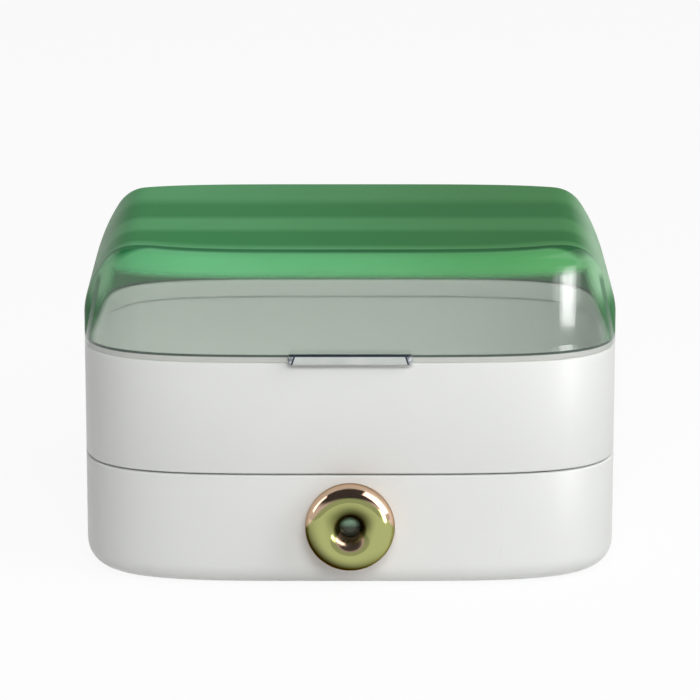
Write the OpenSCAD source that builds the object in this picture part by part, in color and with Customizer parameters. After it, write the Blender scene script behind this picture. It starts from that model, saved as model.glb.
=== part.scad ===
// Two-tier vanity box: a clear hinged lid, an open upper tray and a drawer with a ring knob.
// Frame: X to the right, Y to the back, Z up. The origin is midway between the part's sides and
// midway from the knob's front to the hinges' back, on the surface that the feet stand on.
// All sizes are in millimetres.

/* [Outline] */
// Width of the box
body_w = 280; // [240:1:320]
// Depth of the box without its knob and hinges
body_d = 180; // [160:1:210]
// How square the rounded outline is, as a superellipse exponent
squareness = 4.4; // [3.8:0.1:5.5]
// Radius of the bottom edge
bottom_r = 12; // [8:0.5:16]

/* [Tiers] */
// Height that the feet lift the box
foot_lift = 1; // [0.6:0.1:2]
// Height of the drawer tier, with the feet
drawer_tier_h = 60.9; // [58:0.1:72]
// Open seam between the drawer front and the upper tray
seam = 1; // [0.6:0.1:1.6]
// Height of the upper tray up to the shoulder that the lid closes on
tray_h = 58.9; // [50:0.1:80]
// Height of the raised lip above that shoulder
lip_h = 3.4; // [2.5:0.1:6]
// Wall of the housing and of the upper tray
body_wall = 2.4; // [2:0.1:3]

/* [Lid] */
// Height of the lid
lid_h = 58.1; // [54:0.1:80]
// Wall of the lid
lid_wall = 2.2; // [1.8:0.1:2.6]
// How far the lid's curved sides lean in, seen from the front
lid_side_in = 30; // [25:1:40]
// Height over which they lean in
lid_side_drop = 51; // [44:1:53]
// Radius of the tight arc at the top of each side
lid_corner_r = 20; // [15:0.5:23]
// Radius of the lid's front and back upper edges, seen from the side
lid_edge_r = 11; // [6:0.5:16]
// Gap under the closed lid's edge
lid_seat_gap = 0.3; // [0.2:0.05:0.5]
// Gap between the lid's wall and the lip inside it
lid_side_gap = 0.4; // [0.3:0.05:0.6]
// Thickness of the raised lip
lip_wall = 2; // [1.6:0.1:3]

/* [Lid pull] */
// Width of the pull bar
pull_w = 64; // [40:1:90]
// Height of the pull bar
pull_h = 5.6; // [4:0.1:8]
// How far the pull bar stands out
pull_out = 5; // [3.5:0.1:8]

/* [Hinges] */
// Distance of each hinge from the middle
hinge_x = 58; // [40:1:70]
// Radius of the hinge pins
hinge_pin_r = 1.5; // [1.2:0.1:1.8]
// Radius of the hinge barrels
hinge_barrel_r = 3; // [2.8:0.1:3.2]
// Width of each lid lug
hinge_lug_w = 18; // [12:1:24]
// Width of each ear on the tray
hinge_ear_w = 3; // [2.5:0.1:4]
// How far the lid opens, in degrees
lid_open_angle = 105; // [100:1:108]

/* [Drawer] */
// Distance from the drawer box's side to the side of the outline
drawer_side_space = 11.5; // [11.5:0.5:30]
// Wall of the drawer box
drawer_wall = 2; // [1.6:0.1:2.6]
// Corner radius of the drawer box
drawer_corner_r = 30; // [28:1:45]
// Wall of the drawer front
front_wall = 2.6; // [2.2:0.1:3]
// Length of the sides that the drawer front wraps round
front_wrap = 60; // [52:1:66]
// Width of the drawer front's bottom return
front_return = 18; // [15:0.5:22]
// Space between the drawer front and the drawer box
front_space = 8.4; // [8:0.1:12]
// Distance from the drawer box's back to the back of the outline
drawer_back_space = 20; // [18:0.5:26]
// How far the drawer pulls out
drawer_travel = 113.5; // [90:0.5:118]
// Height of the glide ribs under the drawer
glide_h = 1.3; // [1:0.1:2]
// Running gap between the drawer and what carries it
glide_gap = 0.3; // [0.2:0.05:0.5]

/* [Knob] */
// Height of the knob's centre
knob_z = 36.4; // [30:0.1:38]
// Radius of the ring's centre line
knob_ring_r = 14.3; // [13.8:0.1:16]
// Radius of the ring's round section
knob_tube_r = 8.9; // [8:0.1:9.2]
// Thickness of the seat behind the ring
knob_seat_h = 2; // [1.5:0.1:3]

/* [Dividers] */
// Thickness of the dividers
divider_t = 1.6; // [1.2:0.1:2]
// Height of the dividers in the upper tray
tray_divider_h = 35; // [20:1:40]
// Height of the dividers in the drawer
drawer_divider_h = 40; // [20:1:45]
// Distance of the tray's short dividers from the middle
tray_divider_x = 46; // [35:1:60]
// Distance of the drawer's dividers from the middle
drawer_divider_x = 43; // [35:1:60]
// Place of the long divider, measured from the middle to the back
long_divider_y = 5; // [0:1:20]

/* [Fasteners and feet] */
// Thread radius of the small screws
screw_r = 1.5; // [1.2:0.1:1.6]
// Radius of a rubber foot
foot_r = 7; // [5:0.5:8]
// Depth of the foot's recess
foot_recess = 1; // [0.8:0.1:1.2]

/* [Hidden] */
$fn = 96;
outline_count = 96;
wide_fn = 360;
slack = 0.02;
cut = 1;

// Levels, from the bottom up
floor_z = foot_lift + body_wall;
glide_z = floor_z + glide_h;
drawer_z = glide_z + glide_gap;
tray_z = drawer_tier_h + seam;
tray_floor_z = tray_z + body_wall;
shoulder_z = tray_z + tray_h;
lip_z = shoulder_z + lip_h;
lid_z = shoulder_z + lid_seat_gap;
lid_top_z = lid_z + lid_h;
drawer_top_gap = 5.2;
drawer_top_z = tray_z - drawer_top_gap;

// Rim of the upper tray: the wall steps in to form the lip
lip_inset = lid_wall + lid_side_gap;
rim_h = 6;

// Hinge line, behind and a little below the shoulder
hinge_y = body_d / 2 + hinge_barrel_r + 0.4;
hinge_z = shoulder_z - hinge_barrel_r - 0.4;
hinge_pin_slack = 0.05;
ear_pin_slack = 0.02;
hinge_ear_gap = 0.3;
ear_x = hinge_lug_w / 2 + hinge_ear_gap;
pin_half = ear_x + hinge_ear_w + 0.5;
lug_h = 8;
lug_top_z = lid_z + lug_h;
horn_out = 4;
horn_reach = hinge_barrel_r + horn_out;
horn_gap = 0.35;
horn_top = (hinge_y - body_d / 2) / sin(lid_open_angle) + horn_reach / tan(lid_open_angle) - horn_gap;

// Split between the housing and the drawer front, as seen from above
split_y = front_wrap - body_d / 2;
split_gap = 0.6;
plate_inset = front_return + split_gap;
flange_w = 10.5;
flange_h = 2;

// Drawer box, and the stops that end its travel
drawer_half_w = body_w / 2 - drawer_side_space;
box_front_y = front_wall + front_space - body_d / 2;
box_back_y = body_d / 2 - drawer_back_space;
glide_x = 90;
glide_w = 4;
glide_front_inset = 8;
stop_x = 60;
stop_w = 10;
stop_t = 4;
stop_tab_h = 1.2;
stop_gap = 0.5;
stop_rib_y = box_back_y - stop_t - drawer_travel - stop_gap;

// Screws
head_r = 2 * screw_r;
head_h = 2;
bore_slack = 0.05;
pass_slack = 0.2;
front_boss_r = 4;
front_screw_x = 75;
front_screw_up = 15;
front_screw_down = 12.7;
front_screw_z = [drawer_z + front_screw_up, drawer_top_z - front_screw_down];
front_thread = 6;
post_r = 4.2;
boss_h = 11.9;
post_top_z = tray_z - boss_h;
post_shelf = 3;
tier_thread = 8;
outer_post_in = [45, 13];
inner_post_x = 40;
inner_post_in = 11;
outer_post = [body_w / 2 - outer_post_in[0], body_d / 2 - outer_post_in[1]];
inner_post = [inner_post_x, body_d / 2 - inner_post_in];
post_places = [[-outer_post[0], outer_post[1]], [-inner_post[0], inner_post[1]], inner_post, outer_post];

// Hooks that hold the front of the tray tier to the housing's side walls
hook_behind_split = 14;
hook_y = split_y + hook_behind_split;
hook_l = 14;
hook_t = 1.6;
hook_h = 9;
hook_gap = 0.3;
barb = 1;

// Feet
front_foot_in = [48, 38];
back_foot_in = [40, 30];
front_foot = [body_w / 2 - front_foot_in[0], front_foot_in[1] - body_d / 2];
back_foot = [body_w / 2 - back_foot_in[0], body_d / 2 - back_foot_in[1]];
foot_places = [[-front_foot[0], front_foot[1]], front_foot, [-back_foot[0], back_foot[1]], back_foot];

// Divider slots
slot_rib = 1.5;
slot_depth = 2.5;
slot_gap = 0.3;
slot_half = divider_t / 2 + slot_gap + slot_rib;

// Knob
washer_r = 5;
washer_gap = 0.05;
knob_y = -body_d / 2;
washer_y = washer_gap - half_depth(washer_r, front_wall);
ring_flat = 1;
ring_y = knob_y - knob_seat_h - knob_tube_r + ring_flat;
knob_hole_r = knob_ring_r - knob_tube_r;
stem_gap = 0.1;
stem_r = knob_hole_r - stem_gap;
knob_screw_r = 2;
knob_head_r = 3.6;
knob_head_h = 2.4;
washer_h = 0.8;
knob_thread = 8;

// Middle of the whole part from front to back, seen from the middle of the outline
middle_y = (ring_y - knob_tube_r + hinge_y + horn_reach) / 2;

// Superellipse through the middles of the four sides
function squircle(w, d) = [
  for (i = [0:outline_count - 1])
    let (a = 360 * i / outline_count, c = cos(a), s = sin(a))
    [sign(c) * pow(abs(c), 2 / squareness) * w / 2, sign(s) * pow(abs(s), 2 / squareness) * d / 2]
];

// Distance from the middle to the outline's edge, at a place on the other axis, in an
// outline with half sizes across and along
function reach(place, across, along) =
  across * pow(1 - pow(abs(place) / along, squareness), 1 / squareness);

function half_width(y, inset) = reach(y, body_w / 2 - inset, body_d / 2 - inset);

function half_depth(x, inset) = reach(x, body_d / 2 - inset, body_w / 2 - inset);

module outline(inset) {
  polygon(squircle(body_w - 2 * inset, body_d - 2 * inset));
}

// Upright slab with the box's outline
module slab(inset, z0, z1) {
  translate([0, 0, z0]) linear_extrude(z1 - z0) outline(inset);
}

// Rectangle on the X axis whose upper corners are two arcs each: a wide one that leans in
// over the height drop, and a tight one of radius r. Together they go in by lean.
module arch(w, h, lean, drop, r) {
  wide_r = (lean * lean + drop * drop - 2 * drop * r) / (2 * (lean - r));
  wide_x = w / 2 - wide_r;
  turn = atan2(drop - r, wide_r - lean);
  translate([-w / 2, 0]) square([w, h - drop]);
  translate([lean - w / 2, 0]) square([w - 2 * lean, h]);
  for (side = [-1, 1]) scale([side, 1, 1]) {
    translate([w / 2 - lean, h - r]) circle(r);
    translate([wide_x, h - drop]) intersection() {
      circle(wide_r, $fn = wide_fn);
      polygon([[0, 0], [w, 0], [w, w * tan(turn)]]);
    }
  }
}

// Rectangle on the X axis with its upper corners rounded
module rounded(w, h, r) {
  translate([-w / 2, 0]) square([w, h - r]);
  translate([r - w / 2, 0]) square([w - 2 * r, h]);
  for (side = [-1, 1]) translate([side * (w / 2 - r), h - r]) circle(r);
}

// Block with the outline in plan. The first child is its profile from the front, and the
// second its profile from the side, both standing on the X axis.
module profiled_block(inset, z0, z1) {
  intersection() {
    slab(inset, z0, z1 + cut);
    translate([0, 0, z0]) rotate([90, 0, 0]) linear_extrude(body_d, center = true) children(0);
    translate([0, 0, z0]) rotate([90, 0, 90]) linear_extrude(body_w, center = true) children(1);
  }
}

// Form of the lid: curved sides, and rounded front and back edges
module lid_block(inset, z0) {
  h = lid_top_z - inset - z0;
  profiled_block(inset, z0, z0 + h) {
    arch(body_w - 2 * inset + slack, h, lid_side_in - inset, lid_side_drop - inset, lid_corner_r - inset);
    rounded(body_d - 2 * inset + slack, h, lid_edge_r - inset);
  }
}

// Form of the drawer tier: rounded all round the bottom
module tier_block(inset, top) {
  h = top - foot_lift - inset;
  r = bottom_r - inset;
  translate([0, 0, top]) mirror([0, 0, 1]) profiled_block(inset, 0, h) {
    rounded(body_w - 2 * inset + slack, h, r);
    rounded(body_d - 2 * inset + slack, h, r);
  }
}

// Everything in front of, or behind, a plane across the box
module before(y) {
  translate([-body_w, -2 * body_d, -cut]) cube([2 * body_w, 2 * body_d + y, 3 * body_d]);
}

module behind(y) {
  translate([-body_w, y, -cut]) cube([2 * body_w, 2 * body_d, 3 * body_d]);
}

// Cylinder along Y from one place to another
module rod_y(x, z, y0, y1, r) {
  translate([x, y1, z]) rotate([90, 0, 0]) cylinder(h = y1 - y0, r = r);
}

// Cylinder along X, centred
module rod_x(x, y, z, length, r) {
  translate([x, y, z]) rotate([0, 90, 0]) cylinder(h = length, r = r, center = true);
}

// Plan of the drawer box
module drawer_plan(inset) {
  r = drawer_corner_r - inset;
  x = drawer_half_w - inset;
  y0 = box_front_y + inset;
  y1 = box_back_y - inset;
  translate([r - x, y0]) square([2 * (x - r), y1 - y0]);
  translate([-x, y0 + r]) square([2 * x, y1 - y0 - 2 * r]);
  for (sx = [-1, 1]) {
    translate([sx * (x - r), y0 + r]) circle(r);
    translate([sx * (x - r), y1 - r]) circle(r);
  }
}

module drawer_slab(inset, z0, z1) {
  translate([0, 0, z0]) linear_extrude(z1 - z0) drawer_plan(inset);
}

// Pair of upright ribs with a slot between them, open along Y
module slot_y(x, y0, y1, z0, h) {
  half = divider_t / 2 + slot_gap;
  for (sx = [-1, 1])
    translate([x + sx * (half + slot_rib / 2) - slot_rib / 2, y0, z0]) cube([slot_rib, y1 - y0, h]);
}

// The same pair, open along X
module slot_x(y, x0, x1, z0, h) {
  half = divider_t / 2 + slot_gap;
  for (sy = [-1, 1])
    translate([x0, y + sy * (half + slot_rib / 2) - slot_rib / 2, z0]) cube([x1 - x0, slot_rib, h]);
}

module base_housing() {
  color("whitesmoke") difference() {
    union() {
      intersection() {
        difference() {
          tier_block(0, tray_z);
          tier_block(body_wall, tray_z + cut);
        }
        behind(split_y + split_gap / 2);
      }
      intersection() {
        slab(plate_inset, foot_lift, floor_z);
        before(split_y + 2 * cut);
      }
      posts();
      glide_ribs();
      stop_ribs();
    }
    post_bores();
    foot_recesses();
    hooks(hook_gap);
  }
}

// Hollow posts that the tier screws are driven up through
module posts() {
  for (p = post_places)
    translate([p[0], p[1], foot_lift + cut]) cylinder(h = post_top_z - foot_lift - cut, r = post_r);
}

module post_bores() {
  for (p = post_places) translate([p[0], p[1], 0]) {
    cylinder(h = post_top_z - post_shelf, r = head_r + pass_slack);
    cylinder(h = post_top_z + cut, r = screw_r + pass_slack);
  }
}

module glide_ribs() {
  y0 = front_return + glide_front_inset - body_d / 2;
  for (side = [-1, 1])
    translate([side * glide_x - glide_w / 2, y0, floor_z - body_wall / 2])
      cube([glide_w, box_back_y - y0, body_wall / 2 + glide_h]);
}

module stop_ribs() {
  for (side = [-1, 1])
    translate([side * stop_x - stop_w / 2, stop_rib_y - stop_t, floor_z - body_wall / 2])
      cube([stop_w, stop_t, body_wall / 2 + glide_h]);
}

module foot_recesses() {
  for (p = foot_places)
    translate([p[0], p[1], foot_lift - cut]) cylinder(h = cut + foot_recess, r = foot_r + pass_slack);
}

// Hook plates with outward barbs; grow enlarges them into the pockets in the housing
module hooks(grow) {
  x = half_width(abs(hook_y) + hook_l / 2, body_wall) - hook_gap;
  for (side = [-1, 1]) scale([side, 1, 1])
    translate([x - hook_t - grow, hook_y - hook_l / 2 - grow, tray_z - hook_h - grow]) {
      cube([hook_t + 2 * grow, hook_l + 2 * grow, hook_h + cut + grow]);
      cube([hook_t + barb + 2 * grow, hook_l + 2 * grow, 2 + 2 * grow]);
    }
}

module upper_tray() {
  color("whitesmoke") difference() {
    union() {
      difference() {
        slab(0, tray_z, shoulder_z);
        slab(body_wall, tray_floor_z, shoulder_z + cut);
      }
      difference() {
        slab(lip_inset, shoulder_z - rim_h, lip_z);
        slab(lip_inset + lip_wall, shoulder_z - rim_h - cut, lip_z + cut);
      }
      difference() {
        slab(body_wall / 2, shoulder_z - rim_h, shoulder_z);
        slab(lip_inset + lip_wall / 2, shoulder_z - rim_h - cut, shoulder_z + cut);
      }
      tray_bosses();
      hooks(0);
      tray_slots();
      hinge_ears();
    }
    boss_bores();
    for (side = [-1, 1])
      rod_x(side * hinge_x, hinge_y, hinge_z, 3 * hinge_lug_w, hinge_pin_r + ear_pin_slack);
  }
}

// Bosses under the tray's floor that meet the housing's posts
module tray_bosses() {
  for (p = post_places)
    translate([p[0], p[1], post_top_z]) cylinder(h = boss_h + cut, r = post_r);
}

module boss_bores() {
  for (p = post_places)
    translate([p[0], p[1], post_top_z - cut]) cylinder(h = tier_thread + 2 * cut, r = screw_r + bore_slack);
}

module tray_slots() {
  h = tray_divider_h / 2;
  z0 = tray_floor_z - cut;
  x = half_width(long_divider_y + slot_half, body_wall);
  y = -half_depth(tray_divider_x + slot_half, body_wall);
  for (side = [-1, 1]) {
    scale([side, 1, 1]) slot_x(long_divider_y, x - slot_depth, x + body_wall / 2, z0, h);
    slot_y(side * tray_divider_x, y - body_wall / 2, y + slot_depth, z0, h);
  }
}

// Ears on the back wall, with horns that the open lid rests on
module hinge_ears() {
  y0 = body_d / 2 - body_wall;
  for (side = [-1, 1]) for (end = [-1, 1]) {
    x = side * hinge_x + end * (ear_x + hinge_ear_w / 2);
    rod_x(x, hinge_y, hinge_z, hinge_ear_w, hinge_barrel_r);
    translate([x - hinge_ear_w / 2, y0, hinge_z - 2 * hinge_barrel_r])
      cube([hinge_ear_w, hinge_y - y0, 2 * hinge_barrel_r]);
    translate([x - hinge_ear_w / 2, hinge_y, hinge_z - hinge_barrel_r])
      cube([hinge_ear_w, horn_reach, hinge_barrel_r + horn_top]);
  }
}

module tier_screws() {
  color("silver") for (p = post_places) translate([p[0], p[1], post_top_z - post_shelf]) {
    cylinder(h = post_shelf + tier_thread, r = screw_r);
    translate([0, 0, -head_h]) cylinder(h = head_h, r = head_r);
  }
}

module rubber_feet() {
  color("dimgray") for (p = foot_places)
    translate([p[0], p[1], 0]) cylinder(h = foot_lift + foot_recess, r = foot_r);
}

module tray_long_divider() {
  x = half_width(long_divider_y + slot_half, body_wall) - slot_gap;
  color("whitesmoke") translate([-x, long_divider_y - divider_t / 2, tray_floor_z])
    cube([2 * x, divider_t, tray_divider_h]);
}

module tray_short_divider(side) {
  y0 = slot_gap - half_depth(tray_divider_x + slot_half, body_wall);
  y1 = long_divider_y - divider_t / 2 - slot_gap;
  color("whitesmoke") translate([side * tray_divider_x - divider_t / 2, y0, tray_floor_z])
    cube([divider_t, y1 - y0, tray_divider_h]);
}

module tray_left_divider() {
  tray_short_divider(-1);
}

module tray_right_divider() {
  tray_short_divider(1);
}

module hinge_pin(side) {
  color("silver") rod_x(side * hinge_x, hinge_y, hinge_z, 2 * pin_half, hinge_pin_r);
}

module hinge_pin_left() {
  hinge_pin(-1);
}

module hinge_pin_right() {
  hinge_pin(1);
}

module lid_shell() {
  color("mediumseagreen", 0.45) difference() {
    union() {
      difference() {
        lid_block(0, lid_z);
        lid_block(lid_wall, lid_z - cut);
      }
      lid_lugs();
    }
    for (side = [-1, 1])
      rod_x(side * hinge_x, hinge_y, hinge_z, 2 * hinge_lug_w, hinge_pin_r + hinge_pin_slack);
  }
}

// Lugs that reach back from the lid's skirt and down to the hinge line
module lid_lugs() {
  y0 = body_d / 2 - lid_wall + 0.6;
  for (side = [-1, 1]) {
    rod_x(side * hinge_x, hinge_y, hinge_z, hinge_lug_w, hinge_barrel_r);
    translate([side * hinge_x - hinge_lug_w / 2, y0, lid_z])
      cube([hinge_lug_w, hinge_y + hinge_barrel_r - y0, lug_top_z - lid_z]);
    translate([side * hinge_x - hinge_lug_w / 2, hinge_y - hinge_barrel_r + 0.4, hinge_z])
      cube([hinge_lug_w, 2 * hinge_barrel_r - 0.4, lug_top_z - hinge_z]);
  }
}

module lid_pull() {
  r = pull_out / 2;
  color("gainsboro") translate([0, -body_d / 2 - pull_out, lid_z]) linear_extrude(pull_h) {
    translate([-pull_w / 2, r]) square([pull_w, r]);
    translate([r - pull_w / 2, 0]) square([pull_w - 2 * r, pull_out]);
    for (side = [-1, 1]) translate([side * (pull_w / 2 - r), r]) circle(r);
  }
}

module drawer_front() {
  color("whitesmoke") difference() {
    union() {
      intersection() {
        difference() {
          tier_block(0, drawer_tier_h);
          tier_block(front_wall, drawer_tier_h + cut);
          slab(front_return, 0, floor_z + 2 * cut);
        }
        before(split_y - split_gap / 2);
      }
      intersection() {
        difference() {
          slab(front_wall / 2, drawer_tier_h - flange_h, drawer_tier_h);
          slab(flange_w, drawer_tier_h - flange_h - cut, drawer_tier_h + cut);
        }
        before(split_y - split_gap / 2);
      }
      for (side = [-1, 1]) for (z = front_screw_z)
        rod_y(side * front_screw_x, z, front_wall - body_d / 2, box_front_y, front_boss_r);
    }
    for (side = [-1, 1]) for (z = front_screw_z)
      rod_y(side * front_screw_x, z, box_front_y - front_thread, box_front_y + cut, screw_r + bore_slack);
    rod_y(0, knob_z, -body_d, 0, knob_screw_r + pass_slack);
  }
}

module drawer_box() {
  color("whitesmoke") difference() {
    union() {
      difference() {
        drawer_slab(0, drawer_z, drawer_top_z);
        drawer_slab(drawer_wall, drawer_z + drawer_wall, drawer_top_z + cut);
      }
      for (side = [-1, 1])
        translate([side * stop_x - stop_w / 2, box_back_y - stop_t, drawer_z - stop_tab_h])
          cube([stop_w, stop_t, stop_tab_h + cut]);
      drawer_slots();
    }
    for (side = [-1, 1]) for (z = front_screw_z)
      rod_y(side * front_screw_x, z, box_front_y - cut, box_front_y + drawer_wall + cut, screw_r + pass_slack);
  }
}

module drawer_slots() {
  h = drawer_divider_h / 2;
  z0 = drawer_z + drawer_wall - cut;
  for (side = [-1, 1]) {
    slot_y(side * drawer_divider_x, box_front_y + drawer_wall / 2, box_front_y + drawer_wall + slot_depth, z0, h);
    slot_y(side * drawer_divider_x, box_back_y - drawer_wall - slot_depth, box_back_y - drawer_wall / 2, z0, h);
  }
}

module drawer_front_screws() {
  y = box_front_y + drawer_wall;
  color("silver") for (side = [-1, 1]) for (z = front_screw_z) {
    rod_y(side * front_screw_x, z, box_front_y - front_thread + bore_slack, y, screw_r);
    rod_y(side * front_screw_x, z, y, y + head_h, head_r);
  }
}

module drawer_divider(side) {
  y0 = box_front_y + drawer_wall + slot_gap;
  y1 = box_back_y - drawer_wall - slot_gap;
  color("whitesmoke") translate([side * drawer_divider_x - divider_t / 2, y0, drawer_z + drawer_wall])
    cube([divider_t, y1 - y0, drawer_divider_h]);
}

module drawer_left_divider() {
  drawer_divider(-1);
}

module drawer_right_divider() {
  drawer_divider(1);
}

// Round ring, its back cut flat where it sits on the stem's seat
module knob_ring() {
  color("rosybrown") intersection() {
    translate([0, ring_y, knob_z]) rotate([90, 0, 0]) rotate_extrude() translate([knob_ring_r, 0]) circle(knob_tube_r);
    translate([-body_w / 2, -body_d, 0]) cube([body_w, body_d + knob_y - knob_seat_h, body_d]);
  }
}

// Seat behind the ring, and a post with a domed end in the ring's hole
module knob_stem() {
  dome_r = 2 * stem_r;
  color("rosybrown") difference() {
    union() {
      rod_y(0, knob_z, knob_y - knob_seat_h, knob_y, knob_ring_r - 1);
      rod_y(0, knob_z, ring_y + 1, knob_y, stem_r);
      intersection() {
        rod_y(0, knob_z, ring_y - dome_r, knob_y, stem_r);
        translate([0, ring_y + 2 * stem_r - 1, knob_z]) rotate([90, 0, 0]) sphere(dome_r);
      }
    }
    rod_y(0, knob_z, knob_y - knob_thread, knob_y + cut, knob_screw_r + bore_slack);
  }
}

module knob_screw() {
  y = washer_y + washer_h;
  color("silver") {
    rod_y(0, knob_z, knob_y - knob_thread + bore_slack, y, knob_screw_r);
    rod_y(0, knob_z, y, y + knob_head_h, knob_head_r);
  }
}

module knob_washer() {
  color("silver") difference() {
    rod_y(0, knob_z, washer_y, washer_y + washer_h, washer_r);
    rod_y(0, knob_z, washer_y - cut, washer_y + washer_h + cut, knob_screw_r + pass_slack);
  }
}

// Moves a piece from the outline's middle to the part's origin
module placed() {
  translate([0, -middle_y, 0]) children();
}

placed() base_housing();
placed() upper_tray();
placed() tier_screws();
placed() rubber_feet();
placed() tray_long_divider();
placed() tray_left_divider();
placed() tray_right_divider();
placed() hinge_pin_left();
placed() hinge_pin_right();
placed() lid_shell();
placed() lid_pull();
placed() drawer_front();
placed() drawer_box();
placed() drawer_front_screws();
placed() drawer_left_divider();
placed() drawer_right_divider();
placed() knob_ring();
placed() knob_stem();
placed() knob_screw();
placed() knob_washer();
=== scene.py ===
import math

import bmesh
import bpy
from mathutils import Matrix, Vector


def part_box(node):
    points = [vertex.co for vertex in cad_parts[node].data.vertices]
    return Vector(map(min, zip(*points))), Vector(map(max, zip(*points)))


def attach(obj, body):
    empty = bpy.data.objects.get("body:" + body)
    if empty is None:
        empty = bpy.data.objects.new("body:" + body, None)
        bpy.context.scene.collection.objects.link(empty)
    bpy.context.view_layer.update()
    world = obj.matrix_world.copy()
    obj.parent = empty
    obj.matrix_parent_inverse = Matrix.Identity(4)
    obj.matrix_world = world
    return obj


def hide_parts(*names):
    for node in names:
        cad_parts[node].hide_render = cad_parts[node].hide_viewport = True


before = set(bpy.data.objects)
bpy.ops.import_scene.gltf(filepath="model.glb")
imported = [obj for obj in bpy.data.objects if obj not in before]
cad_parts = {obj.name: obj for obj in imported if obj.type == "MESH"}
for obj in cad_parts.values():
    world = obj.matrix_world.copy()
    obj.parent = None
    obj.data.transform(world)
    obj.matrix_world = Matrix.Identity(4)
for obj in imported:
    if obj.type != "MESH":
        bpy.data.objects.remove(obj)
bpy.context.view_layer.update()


# Base housing: the lower tier's back, sides and floor, moulded in one piece of satin white
# plastic. It carries the feet, the drawer's runners and the hollow posts for the tier screws.
# The edge under it is rounded all round, also at the four corners of the outline.
MM = 0.001
WELD_DISTANCE = 0.002 * MM
SQUARENESS = 4.4
SMOOTH_UP_TO = math.radians(34)
HOUSING_WALL = 2.4 * MM
BOTTOM_ROUND = 12 * MM
HAIR = 0.001 * MM
NEAR_OUTLINE = (0.88, 1.002)
BOTTOM_CUTS = (0.35, 1.2, 2.6, 4.5, 7, 9.5, 12, 15)
SIDE_CUTS = (-24, -10, 5, 18, 30, 40, 48, 55, 61, 66)
BACK_CUTS = (0, 25, 45, 60, 72, 82, 90, 97)

housing_low, housing_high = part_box("base_housing")
face_low, face_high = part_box("drawer_front")
HALF_WIDTH = housing_high.x
HALF_DEPTH = (housing_high.y - face_low.y) / 2
MIDDLE_Y = (housing_high.y + face_low.y) / 2
UNDERSIDE = housing_low.z
CUT_UNDER = UNDERSIDE + 12.5 * MM


def shader_node(material, kind, inputs, **settings):
    """Adds a node and sets its sockets to values, or links them to other nodes' sockets."""
    node = material.node_tree.nodes.new(kind)
    for name, value in settings.items():
        setattr(node, name, value)
    for name, value in inputs.items():
        if isinstance(value, bpy.types.NodeSocket):
            material.node_tree.links.new(value, node.inputs[name])
        else:
            node.inputs[name].default_value = value
    return node


def new_material(name):
    material = bpy.data.materials.new(name)
    material.use_nodes = True
    material.node_tree.nodes.clear()
    return material


def own_place(material):
    return shader_node(material, "ShaderNodeTexCoord", {}).outputs["Object"]


def grain(material, scale, detail=2.0, place=None):
    """Noise over the piece's own coordinates, from 0 to 1."""
    place = place or own_place(material)
    inputs = {"Vector": place, "Scale": scale, "Detail": detail}
    return shader_node(material, "ShaderNodeTexNoise", inputs).outputs["Fac"]


def spread(material, value, low, high, start=0.3, end=0.7):
    """Brings a value between start and end into the range from low to high."""
    inputs = {"Value": value, "From Min": start, "From Max": end, "To Min": low, "To Max": high}
    return shader_node(material, "ShaderNodeMapRange", inputs).outputs["Result"]


def two_tone(material, share, first, second):
    """Mixes two colours by a share from 0 to 1."""
    mix = shader_node(material, "ShaderNodeMix", {0: share}, data_type="RGBA")
    for index, color in ((6, first), (7, second)):
        if isinstance(color, bpy.types.NodeSocket):
            material.node_tree.links.new(color, mix.inputs[index])
        else:
            mix.inputs[index].default_value = (*color, 1)
    return mix.outputs[2]


def fine_bump(material, height, strength, distance):
    inputs = {"Height": height, "Strength": strength, "Distance": distance}
    return shader_node(material, "ShaderNodeBump", inputs).outputs["Normal"]


def principled(material, inputs):
    return shader_node(material, "ShaderNodeBsdfPrincipled", inputs).outputs["BSDF"]


def finish_with(material, shader):
    shader_node(material, "ShaderNodeOutputMaterial", {"Surface": shader})
    return material


def moulded_white(name, color, rough):
    """Satin moulded plastic: faint clouds in the colour and a fine spark-eroded texture."""
    material = new_material(name)
    shaded = [0.975 * part for part in color]
    inputs = {
        "Base Color": two_tone(material, spread(material, grain(material, 11), 0, 1), color, shaded),
        "Roughness": spread(material, grain(material, 420, 3), rough - 0.05, rough + 0.06),
        "Normal": fine_bump(material, grain(material, 2400, 3), 0.16, 0.00005),
        "IOR": 1.47,
    }
    return finish_with(material, principled(material, inputs))


def add_piece(name, skin, material, body):
    """Turns a bmesh into an object with smooth faces that rides on a body."""
    mesh = bpy.data.meshes.new(name)
    skin.to_mesh(mesh)
    skin.free()
    mesh.shade_smooth()
    mesh.set_sharp_from_angle(angle=SMOOTH_UP_TO)
    mesh.materials.append(material)
    piece = bpy.data.objects.new(name, mesh)
    bpy.context.scene.collection.objects.link(piece)
    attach(piece, body)
    return piece


def even_shading(piece):
    """Large flat faces keep their own shading beside small round ones."""
    weights = piece.modifiers.new("even_shading", "WEIGHTED_NORMAL")
    weights.keep_sharp = True
    weights.weight = 80
    return piece


def merged_copy(node):
    """A CAD node's mesh with its doubled corners merged."""
    skin = bmesh.new()
    skin.from_mesh(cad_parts[node].data)
    bmesh.ops.remove_doubles(skin, verts=skin.verts, dist=WELD_DISTANCE)
    return skin


def slice_skin(skin, place, normal, clear=False, below=None):
    """Cuts the skin, or its faces below a height, at a plane. With clear, what is behind it goes."""
    faces = [face for face in skin.faces if below is None or face.calc_center_median().z < below]
    edges = list({edge for face in faces for edge in face.edges})
    verts = list({vert for face in faces for vert in face.verts})
    bmesh.ops.bisect_plane(
        skin, geom=verts + edges + faces, dist=0.0005 * MM,
        plane_co=place, plane_no=normal, clear_inner=clear)


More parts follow.
